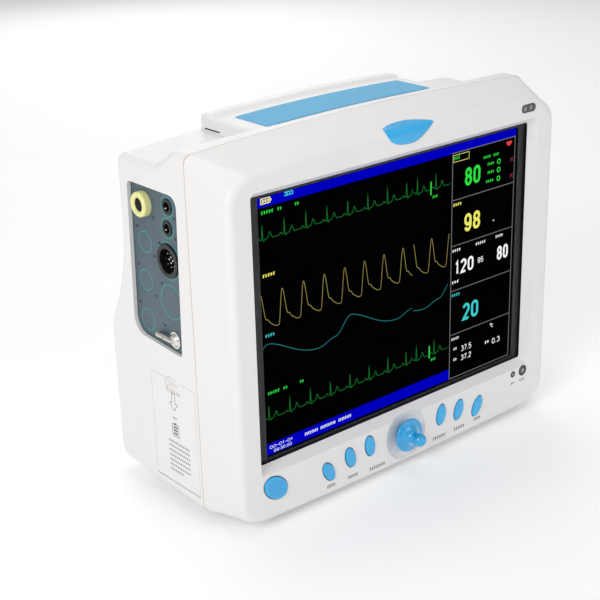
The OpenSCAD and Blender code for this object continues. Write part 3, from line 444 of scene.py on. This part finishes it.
class Marks:
    """Flat marks in one mesh: outlines in (u, v), put on a surface by the function place."""

    def __init__(self, place):
        self.place = place
        self.points = []
        self.faces = []

    def outline(self, points):
        start = len(self.points)
        self.points += [self.place(u, v) for u, v in points]
        self.faces.append(list(range(start, len(self.points))))

    def bar(self, u0, u1, v0, v1):
        self.outline([(u0, v0), (u1, v0), (u1, v1), (u0, v1)])

    def line(self, points, width, closed=False):
        """A line of even width with mitred corners."""
        count = len(points)
        left, right = [], []
        for i, (u, v) in enumerate(points):
            before = points[i - 1] if i or closed else points[i]
            after = points[(i + 1) % count] if i < count - 1 or closed else points[i]
            d0 = Vector((u - before[0], v - before[1]))
            d1 = Vector((after[0] - u, after[1] - v))
            d0 = d0.normalized() if d0.length else d1.normalized()
            d1 = d1.normalized() if d1.length else d0
            n0, n1 = Vector((-d0.y, d0.x)), Vector((-d1.y, d1.x))
            bisector = (n0 + n1).normalized() if (n0 + n1).length > 1e-6 else n0
            reach = min(width, width / 2 / max(0.3, bisector.dot(n0)))
            left.append((u + bisector.x * reach, v + bisector.y * reach))
            right.append((u - bisector.x * reach, v - bisector.y * reach))
        for i in range(count if closed else count - 1):
            j = (i + 1) % count
            self.outline([right[i], right[j], left[j], left[i]])

    def ring(self, u, v, radius, width, start=0.0, stop=360.0, steps=64):
        turn = [math.radians(start + (stop - start) * i / steps) for i in range(steps + 1)]
        path = [(u + radius * math.cos(a), v + radius * math.sin(a)) for a in turn]
        full = stop - start >= 360
        self.line(path[:-1] if full else path, width, closed=full)

    def disc(self, u, v, half_u, half_v, steps=24):
        turn = [2 * math.pi * i / steps for i in range(steps)]
        self.outline([(u + half_u * math.cos(a), v + half_v * math.sin(a)) for a in turn])

    def blocks(self, u0, u1, v, height, count):
        """A row of small blocks where a printed word would be."""
        pitch = (u1 - u0) / count
        for i in range(count):
            start = u0 + pitch * i
            self.bar(start, start + pitch * 0.42, v - height / 2, v + height / 2)
            top = v + height * (0.5 - 0.36 * (i % 2))
            self.bar(start + pitch * 0.42, start + pitch * 0.72, top - 0.18 * height, top)

    def digits(self, text, u0, u1, v0, v1, weight=0.17):
        """Plain digits in a box; weight is the width of their strokes as a part of their height."""
        pitch = (u1 - u0) / sum(DIGIT_WIDTH.get(c, 1.0) for c in text)
        stroke = (v1 - v0) * weight
        u = u0
        for c in text:
            span = pitch * DIGIT_WIDTH.get(c, 1.0)
            side = stroke / 2 + 0.08 * span
            across, tall = span - 2 * side, v1 - v0 - stroke
            for run, closed in DIGIT_STROKES[c]:
                self.line([(u + side + a * across, v0 + stroke / 2 + b * tall) for a, b in run],
                          stroke, closed)
            u += span

    def piece(self, name, material, body, slot):
        mesh = bpy.data.meshes.new(name)
        mesh.from_pydata([Vector(p) * MM for p in self.points], [], self.faces)
        mesh.update()
        new_piece(name, mesh, material, body)


# ---- CAD nodes that show, with their finish -----------------------------------------------------

EASED = {"battery_door": 0.25, "battery_latch": 0.2, "recorder_door": 0.25, "connector_panel": 0.2,
         "base_plate": 0.3, "mains_inlet": 0.3, "cuff_valves": 0.4, "battery_pack": 1.5,
         "battery_bay": 0.4, "data_port": 0.2, "fan_frame": 0.3, "recorder_release": 0.3,
         "lcd_frame": 0.2, "rear_panel": 0.15, "feet": 0.6}
for node_name in SUBPARTS:
    refined(node_name, ease=EASED.get(node_name, 0.0))


# ---- the picture on the display ------------------------------------------------------------------

# Layers of the picture, in front of the display panel's face
FIELD_LIFT, LINE_LIFT, TRACE_LIFT = 0.02, 0.04, 0.06
TRACE_WIDTH = 0.36
SCREEN_W = 246.0
SCREEN_H = SCREEN_W * 3 / 4
LEFT = -SCREEN_W / 2
PANEL_FACE = low("lcd_panel").y
SCREEN_Z = middle("display_window").z
COLUMN = 55.0
COLUMN_END = 121.3
BEAT = 18.44
SWEEP = 15.4
TRACE_END = 52.5


def on_screen(lift):
    return lambda u, v: (u, PANEL_FACE - lift, SCREEN_Z + v)


def smooth(t):
    t = max(0.0, min(1.0, t))
    return t * t * (3 - 2 * t)


def hump(t, centre, width, height):
    return height * math.exp(-((t - centre) / width) ** 2)


def heart_wave(t):
    """Height of a heart trace, t millimetres after the tall spike."""
    t = (t + BEAT / 2) % BEAT - BEAT / 2
    spike = max(0.0, 1 - abs(t) / 0.5) * 12.4
    return spike - hump(t, 1.2, 0.5, 1.3) + hump(t, 6.2, 1.2, 4.3) + hump(t, -3.2, 0.9, 1.6)


def pulse_wave(t):
    """Height of a pulse trace, t millimetres after the crest."""
    t %= BEAT
    if t < 4.4:
        return 6.3 + 18.7 * (1 - smooth(t / 4.4))
    if t < 12.8:
        s = (t - 4.4) / 8.4
        return 6.3 * (1 - s) ** 1.3 + math.sin(math.pi * min(1.0, s * 3)) * 0.9
    return 25 * smooth((t - 14.8) / 3.6)


def breath_wave(t):
    """Height of a breathing trace, t millimetres after the crest."""
    t %= 74
    if t < 44.8:
        return 16.2 * (1 + math.cos(math.pi * (t / 44.8) ** 0.8)) / 2
    if t < 60:
        return 4.1 * smooth((t - 44.8) / 15.2)
    return 4.1 + 12.1 * smooth((t - 60) / 14)


def sweep(marks, wave, base, crest, crest_after, width, step=0.25):
    """A trace in two runs, with the break of the sweep between them."""
    for start, stop, origin in ((LEFT, SWEEP, crest), (SWEEP + 0.6, TRACE_END, crest_after)):
        count = int((stop - start) / step)
        marks.line([(start + i * step, base + wave(start + i * step - origin))
                    for i in range(count + 1)], width)


def bars():
    m = Marks(on_screen(FIELD_LIFT))
    m.bar(LEFT, COLUMN_END + 1, 85.7, SCREEN_H / 2)
    m.bar(LEFT, COLUMN - 0.4, -91.6, -83.1)
    m.piece("picture_bars", SCREEN["blue"], "case", "lit_panel")


def frame_lines():
    m = Marks(on_screen(LINE_LIFT))
    for v in (86, 50.6, 15.4, -20.1, -55.6, -91.5):
        m.bar(COLUMN - 0.4, COLUMN_END + 0.4, v - 0.35, v + 0.35)
    for u in (COLUMN, COLUMN_END):
        m.bar(u - 0.4, u + 0.4, -91.5, 86)
    m.piece("picture_lines", SCREEN["grey"], "case", "lit_panel")


def traces():
    heart = Marks(on_screen(TRACE_LIFT))
    sweep(heart, heart_wave, 64.1, -119.9, 19.75, TRACE_WIDTH)
    sweep(heart, heart_wave, -64.4, -119.9, 19.75, TRACE_WIDTH)
    heart.piece("picture_heart_traces", SCREEN["trace_green"], "case", "lit_panel")
    pulse = Marks(on_screen(TRACE_LIFT))
    sweep(pulse, pulse_wave, 1.9, -105, 15.96, TRACE_WIDTH)
    pulse.piece("picture_pulse_trace", SCREEN["trace_yellow"], "case", "lit_panel")
    breath = Marks(on_screen(TRACE_LIFT))
    sweep(breath, breath_wave, -25.6, -118.75, -17.25, 0.45, 1.0)
    breath.piece("picture_breath_trace", SCREEN["trace_teal"], "case", "lit_panel")


def green_marks():
    m = Marks(on_screen(TRACE_LIFT))
    m.digits("80", 67.3, 85, 58.8, 72.5)
    for v in (82, -45.6):
        m.blocks(-120, -109.4, v, 2.2, 5)
        m.blocks(-106.5, -102.5, v, 2.0, 2)
        m.blocks(-91.9, -87.9, v, 2.0, 2)
    for base in (65, -62.2):
        m.bar(32.6, 33.8, base - 5, base + 5)
        m.blocks(35, 40.6, base - 6.9, 1.9, 3)
    m.blocks(56.8, 63, 82, 2.2, 3)
    m.blocks(87.5, 95.6, 76.3, 2.0, 4)
    m.blocks(98, 104.4, 76.3, 2.0, 3)
    for v, u in ((70.4, 91.9), (64, 92.2), (57.3, 90.8)):
        m.blocks(u, 99.4, v, 2.0, 4)
        m.ring(104, v, 1.6, 0.8)
    m.piece("picture_green", SCREEN["green"], "case", "lit_panel")


def yellow_marks():
    m = Marks(on_screen(TRACE_LIFT))
    m.digits("98", 67.5, 86, 23.5, 37.5)
    m.blocks(56.5, 65.6, 46.9, 2.2, 4)
    m.blocks(-120.6, -109.8, 39.1, 2.2, 5)
    m.line([(55.9, 79.2), (71.9, 79.2), (71.9, 84.3), (55.9, 84.3)], 0.35, closed=True)
    m.line([(-120, 88), (-112.6, 88), (-112.6, 91.4), (-120, 91.4)], 0.7, closed=True)
    m.bar(-112.2, -111.4, 88.9, 90.5)
    for i in range(3):
        m.bar(-119 + i * 2.1, -117.6 + i * 2.1, 88.8, 90.6)
    m.piece("picture_yellow", SCREEN["yellow"], "case", "lit_panel")


def teal_marks():
    m = Marks(on_screen(TRACE_LIFT))
    m.digits("20", 67.5, 86.3, -47.3, -33.5)
    m.blocks(56.5, 65.6, -23.8, 2.2, 4)
    m.blocks(-120.3, -111.9, -3.4, 2.2, 4)
    m.bar(-100.6, -96.2, 91.2, 92)
    m.bar(-100.6, -96.2, 89.2, 90)
    m.bar(-99, -97.9, 89.2, 92)
    m.ring(-94.6, 90.6, 1.2, 0.7)
    m.piece("picture_teal", SCREEN["teal"], "case", "lit_panel")


def white_marks():
    m = Marks(on_screen(TRACE_LIFT))
    m.digits("120", 58.8, 79.8, -8.1, 3.1)
    m.digits("95", 83.5, 90, -4.8, -0.3, 0.14)
    m.digits("80", 104.4, 117.8, -8.1, 3.1)
    m.digits("37.5", 67.3, 79, -72.3, -67.6, 0.14)
    m.digits("37.2", 67.3, 79, -79.8, -75.2, 0.14)
    m.digits("0.3", 101.9, 111.3, -76.5, -71.9, 0.14)
    for u0, u1, v, count in ((56.5, 65.6, 11.5, 4), (81.3, 92.5, 11, 5), (103, 111.6, 11.5, 4),
                             (56.5, 64.4, -13.4, 3), (57, 65.6, -59.5, 4), (59.4, 63.5, -68, 2),
                             (59.4, 63.5, -76.9, 2), (94.4, 99.6, -73, 2)):
        m.blocks(u0, u1, v, 2.1, count)
    m.ring(100.2, -59.2, 0.7, 0.4)
    m.ring(102, -60.7, 1.1, 0.5, 50, 310)
    m.disc(100, 25.3, 0.7, 0.7)
    m.digits("00-01-01", -120.6, -99.6, -87.3, -85.0, 0.14)
    m.digits("09:30:00", -117, -100.8, -90.8, -88.5, 0.14)
    for u0, u1, count in ((-88.8, -76.4, 4), (-74.4, -60, 5), (-57.5, -45, 4)):
        m.blocks(u0, u1, -87.2, 2.3, 2 * count)
    m.piece("picture_white", SCREEN["white"], "case", "lit_panel")


def red_marks():
    m = Marks(on_screen(TRACE_LIFT))
    crest = [(114.8 + 3 * math.cos(a) * abs(math.cos(a)) ** 0.2,
              82.0 + 1.5 * math.sin(a) + 0.9 * abs(math.cos(a)) - (0.6 if math.sin(a) < 0 else 0))
             for a in (2 * math.pi * i / 28 for i in range(28))]
    m.outline(crest)
    m.piece("picture_red", SCREEN["red"], "case", "lit_panel")
    crosses = Marks(on_screen(TRACE_LIFT))
    for v in (69, 56.5):
        for side in (-1, 1):
            crosses.line([(116.6, v - 1.6 * side), (120, v + 1.6 * side)], 0.7)
    crosses.piece("picture_crosses", SCREEN["dark_red"], "case", "lit_panel")


for draw in (bars, frame_lines, traces, green_marks, yellow_marks, teal_marks, white_marks, red_marks):
    draw()


# ---- printed marks on the front, the side panel and the battery door ------------------------------

PRINT_LIFT = 0.03
FRONT_FACE = low("front_bezel").y


def on_front(u, v):
    return (u, FRONT_FACE - PRINT_LIFT, v)


def key_labels():
    m = Marks(on_front)
    for u, v, count in ((-73.7, 12.9, 4), (-52.6, 12.9, 5), (-28.9, 11.6, 8), (35.5, 12.8, 7),
                        (57.1, 13.1, 6), (76.9, 14, 4)):
        half = count * 0.98
        m.blocks(u - half, u + half, v, 2.7, count)
    m.blocks(115.2, 119.2, 30.6, 1.9, 2)
    m.blocks(125.2, 131.2, 30.6, 1.9, 3)
    m.piece("print_front", PRINT_GREY, "case", "shell")


def oval(u, v, half_u, half_v, tilt, steps=48):
    """Points of an oval turned anticlockwise by tilt degrees."""
    lean = math.radians(tilt)
    turn = [2 * math.pi * i / steps for i in range(steps)]
    return [(u + half_u * math.cos(a) * math.cos(lean) - half_v * math.sin(a) * math.sin(lean),
             v + half_u * math.cos(a) * math.sin(lean) + half_v * math.sin(a) * math.cos(lean))
            for a in turn]


KEY_TILT = {"menu_key": 27, "start_key": 16, "record_key": 9, "silence_key": -9, "freeze_key": -16,
            "main_key": -27}
KEY_SHORT, KEY_LONG = 8.8, 16.6
POWER_SHORT, POWER_LONG, POWER_TILT = 15.8, 22.4, 52
GAP_SHADE_LIFT = 0.015
GAP_SHADE_WIDTH = 0.5
GAP_SHADE_OUT = 0.32   # from the key's edge to the middle of the painted gap shade


def painted_gap_shade():
    """Painted shade: dark rings in the gaps round the keys, the power button and the two lamps, where
    the gaps fall in shade.
    """
    m = Marks(lambda u, v: (u, FRONT_FACE - GAP_SHADE_LIFT, v))
    for node, tilt in KEY_TILT.items():
        spot = middle(node)
        m.line(oval(spot.x, spot.z, KEY_SHORT / 2 + GAP_SHADE_OUT, KEY_LONG / 2 + GAP_SHADE_OUT, tilt),
               GAP_SHADE_WIDTH, closed=True)
    spot = middle("power_button")
    m.line(oval(spot.x, spot.z, POWER_SHORT / 2 + GAP_SHADE_OUT, POWER_LONG / 2 + GAP_SHADE_OUT, POWER_TILT),
           GAP_SHADE_WIDTH, closed=True)
    for node, width in (("mains_lamp", GAP_SHADE_WIDTH), ("run_lamp", 0.9)):
        spot = middle(node)
        m.ring(spot.x, spot.z, (high(node).x - low(node).x) / 2 + width / 2, width)
    # dark rings painted where the gaps fall in shade
    m.piece("painted_gap_shade", PRINT_AND_SHADE_DARK, "case", "rubber")


def lamp_rings():
    """Dark cone round the lit centre of each lamp, seen through the lens."""
    face = min(low("mains_lamp").y, low("run_lamp").y) - PRINT_LIFT
    m = Marks(lambda u, v: (u, face, v))
    for node in ("mains_lamp", "run_lamp"):
        spot = middle(node)
        radius = (high(node).x - low(node).x) / 2
        m.ring(spot.x, spot.z, 0.76 * radius, 0.42 * radius)
    m.piece("lamp_rings", PRINT_AND_SHADE_DARK, "case", "smoked")


def sensor_cells():
    """The two light cells behind the smoked window."""
    spot = middle("sensor_window")
    face = low("sensor_window").y - PRINT_LIFT
    m = Marks(lambda u, v: (spot.x + u, face, spot.z + v))
    for u in (-3.6, 2.6):
        m.line([(u - 1.4, 0), (u + 1.4, 0)], 3.0)
    m.piece("sensor_cells", MATERIALS["lens"], "case", "smoked")


def socket_lining():
    """Dark contact sleeve inside the pale collar of the pulse sensor socket."""
    spot = middle("oximeter_socket")
    inset = 1.6
    mouth = low("oximeter_socket").x + inset
    bottom = high("oximeter_socket").x - inset
    radius, count = 4.55, 48
    verts, faces = [], []
    for x in (mouth, bottom):
        for i in range(count):
            a = 2 * math.pi * i / count
            verts.append(Vector((x, spot.y + radius * math.cos(a),
                                 spot.z + radius * math.sin(a))) * MM)
    for i in range(count):
        j = (i + 1) % count
        faces.append((i, j, count + j, count + i))
    faces.append(tuple(range(count, 2 * count)))
    mesh = bpy.data.meshes.new("socket_lining")
    mesh.from_pydata(verts, [], faces)
    for face in mesh.polygons[:-1]:
        face.use_smooth = True
    new_piece("socket_lining", mesh, OWN_LOOK["socket_lining"], "case")


def jack_springs():
    """Bright contact spring low inside each temperature socket."""
    build = bmesh.new()
    x = low("temperature_sockets").x
    top, bottom = high("temperature_sockets").z, low("temperature_sockets").z
    across = middle("temperature_sockets").y
    rim = 5.4
    for y, z in ((across - 0.6, top - rim), (across + 0.6, bottom + rim)):
        place = Matrix.Translation(Vector((x + 2.2, y + 1.7, z - 1.4)) * MM)
        place = place @ Matrix.Diagonal((2.4, 1, 1, 1))
        bmesh.ops.create_uvsphere(build, u_segments=20, v_segments=12, radius=0.85 * MM, matrix=place)
    for face in build.faces:
        face.smooth = True
    mesh = bpy.data.meshes.new("jack_springs")
    build.to_mesh(mesh)
    build.free()
    new_piece("jack_springs", mesh, MATERIALS["nickel"], "case")


def cross(a, b, c):
    """Twice the area of the triangle, positive where it turns left."""
    return (b[0] - a[0]) * (c[1] - a[1]) - (b[1] - a[1]) * (c[0] - a[0])


def rear_outline(node):
    """The node's outline at its rear edge, as points (x, z) in order."""
    rear = high(node).y
    mesh = frame["nodes"][node].data
    spots = sorted({(round(v.co.x / MM, 2), round(v.co.z / MM, 2)) for v in mesh.vertices
                    if abs(v.co.y / MM - rear) < 0.05})
    outline = []
    for run in (spots, spots[::-1]):
        side = []
        for spot in run:
            while len(side) > 1 and cross(side[-2], side[-1], spot) <= 0:
                side.pop()
            side.append(spot)
        outline += side[:-1]
    return outline


def seam_shade_strip():
    """Painted shade: a fine cream-tan line where the seam between the two halves of the case falls in
    shade.
    """
    rear = high("front_bezel").y
    path = rear_outline("front_bezel")
    count = len(path)
    centre = middle("front_bezel")
    proud = []
    for x, z in path:
        away = Vector((x - centre.x, 0, z - centre.z))
        away.normalize()
        proud.append((x + PRINT_LIFT * away.x, z + PRINT_LIFT * away.z))
    verts = [Vector((x, y, z)) * MM for y in (rear - 0.1, rear + 0.5) for x, z in proud]
    faces = [(i, (i + 1) % count, count + (i + 1) % count, count + i) for i in range(count)
             if min(path[i][1], path[(i + 1) % count][1]) > low("rear_shell").z + 1]
    mesh = bpy.data.meshes.new("seam_shade_strip")
    mesh.from_pydata(verts, [], faces)
    new_piece("seam_shade_strip", mesh, SEAM_SHADE_CREAM, "case")


def handle_foot_shadow():
    """Painted shadow: a dark bar on the handle's end where the gap at its foot falls in shade."""
    m = Marks(lambda u, v: (low("handle").x - 0.02, u, v))
    m.bar(27, 44, 255.9, 257)
    m.piece("handle_slot_shade", PRINT_AND_SHADE_DARK, "case", "rubber")


def power_symbol_and_groove_shade():
    spot = middle("power_button")
    face = low("power_button").y - PRINT_LIFT
    m = Marks(lambda u, v: (spot.x + u, face, spot.z + v))
    m.ring(0, 0, 2.6, 0.5, 125, 415, 40)
    m.bar(-0.25, 0.25, 0.8, 3.4)
    # painted shade: two darker ovals where the button's grooves fall in shade; the symbol above is print
    for part in (0.5, 0.68):
        m.line(oval(0, 0, POWER_SHORT / 2 * part, POWER_LONG / 2 * part, POWER_TILT), 0.3,
               closed=True)
    m.piece("print_power_and_groove_shade", PRINT_AND_GROOVE_SHADE_BLUE, "power_button", "blue")


def panel_rings():
    """Rings round the sockets and the spare places of the side panel, each with a small symbol."""
    face = low("connector_panel").x - PRINT_LIFT
    rings = Marks(lambda y, z: (face, y, z))
    for y, z, radius in ((29.4, 192.9, 7.5), (31.3, 164.8, 7.3), (32.3, 135.4, 7.9), (2.3, 156.7, 12.2),
                         (0.3, 224.4, 6.9), (1.5, 209.2, 6.9), (2.7, 186.2, 13.2)):
        rings.ring(y, z, radius, 0.8)
    rings.piece("print_rings", PRINT_TEAL, "case", "slate")
    m = Marks(lambda y, z: (face, y, z))
    for y, z in ((17.8, 212.8), (-7.5, 217.8), (19.3, 185), (-7.3, 203.8), (20, 156.4), (12.8, 167.5),
                 (12, 137.1), (39.3, 174.5), (40.5, 146.2), (37.7, 202.3), (12.1, 196.4)):
        m.disc(y, z, 1.5, 1.0, 12)
    m.piece("print_symbols", PRINT_AND_SHADE_DARK, "case", "slate")


def door_marks():
    """Arrow for opening, a battery, and rows of dashes where the door has its notice."""
    face = low("battery_door").x - PRINT_LIFT
    m = Marks(lambda y, z: (face, y, z))
    arrow = [(1.6, 89.5), (5.4, 89.5), (5.4, 81.8), (8, 81.8), (3.5, 76), (-1, 81.8), (1.6, 81.8)]
    m.line(arrow, 0.45, closed=True)
    m.blocks(1.2, 5.8, 70.5, 1.5, 3)
    m.line([(-0.8, 56.4), (6.8, 56.4), (6.8, 65.4), (-0.8, 65.4)], 0.5, closed=True)
    m.bar(1.6, 4.4, 65.6, 66.8)
    for i in range(3):
        m.bar(0.6, 5.4, 57.8 + i * 2.4, 59.2 + i * 2.4)
    for i in range(7):
        start = -12 if i < 6 else -3
        m.blocks(start, 13, 51 - i * 3.8, 1.5, 12 if i < 6 else 8)
    m.piece("print_door", PRINT_GREY, "battery_door", "shell")


for draw in (key_labels, power_symbol_and_groove_shade, panel_rings, door_marks, painted_gap_shade, lamp_rings, sensor_cells,
             socket_lining, jack_springs, seam_shade_strip, handle_foot_shadow):
    draw()


# ---- stage, light and camera ----------------------------------------------------------------------

def floor():
    mesh = bpy.data.meshes.new("floor")
    half = 6.0
    mesh.from_pydata([(-half, -half, 0), (half, -half, 0), (half, half, 0), (-half, half, 0)], [],
                     [(0, 1, 2, 3)])
    plane = bpy.data.objects.new("floor", mesh)
    bpy.context.scene.collection.objects.link(plane)
    t = Tree("floor_paper")
    base = t.mix(t.remap(t.noise(300, 3), 0.3, 0.7, 0, 1), (0.955, 0.955, 0.955), (0.975, 0.975, 0.975))
    t.set(Base_Color=base, Roughness=0.75, Normal=t.bump(t.noise(3, 3), 0.05, 0.3),
          Emission_Color=(1, 1, 1), Emission_Strength=0.10)
    mesh.materials.append(t.material)


def area_light(name, place, aim, size, power):
    lamp = bpy.data.lights.new(name, "AREA")
    lamp.shape = "DISK"
    lamp.size = size
    lamp.energy = power
    holder = bpy.data.objects.new(name, lamp)
    bpy.context.scene.collection.objects.link(holder)
    holder.location = place
    holder.rotation_mode = "QUATERNION"
    holder.rotation_quaternion = (Vector(aim) - Vector(place)).to_track_quat("-Z", "Y")


def lights():
    world = bpy.data.worlds.new("studio")
    world.use_nodes = True
    background = world.node_tree.nodes["Background"]
    background.inputs["Color"].default_value = (0.97, 0.98, 1.0, 1)
    background.inputs["Strength"].default_value = 0.5
    bpy.context.scene.world = world
    aim = (0, 0, 0.13)
    area_light("key_left", (-1.5, -0.6, 1.0), aim, 0.9, 13)
    area_light("front_fill", (0.5, -1.9, 0.8), aim, 1.2, 5.5)
    area_light("top", (0.1, 0.2, 1.8), aim, 1.2, 7)
    area_light("rear_fill", (0.9, 1.6, 0.9), aim, 1.4, 6)


TURN, LIFT, ROLL = -39.53, 21.99, -1.61
CAMERA_PLACE = (-620.1, -696.7, 493.1)
FOCAL_LENGTH = 80.63


def camera():
    """Camera at the photograph's angle: turn, lift and roll in degrees, place in millimetres."""
    turn, lift, roll = math.radians(TURN), math.radians(LIFT), math.radians(ROLL)
    back = Vector((math.sin(turn) * math.cos(lift), -math.cos(turn) * math.cos(lift), math.sin(lift)))
    level = (-back).cross(Vector((0, 0, 1))).normalized()
    upright = level.cross(-back)
    right = math.cos(roll) * level + math.sin(roll) * upright
    up = -math.sin(roll) * level + math.cos(roll) * upright
    lens = bpy.data.cameras.new("camera")
    lens.lens = FOCAL_LENGTH
    lens.sensor_width = 36
    holder = bpy.data.objects.new("camera", lens)
    bpy.context.scene.collection.objects.link(holder)
    place = Vector(CAMERA_PLACE) * MM
    holder.matrix_world = Matrix.Translation(place) @ Matrix((right, up, back)).transposed().to_4x4()
    bpy.context.scene.camera = holder


floor()
lights()
camera()
bpy.context.scene.view_settings.view_transform = "Standard"
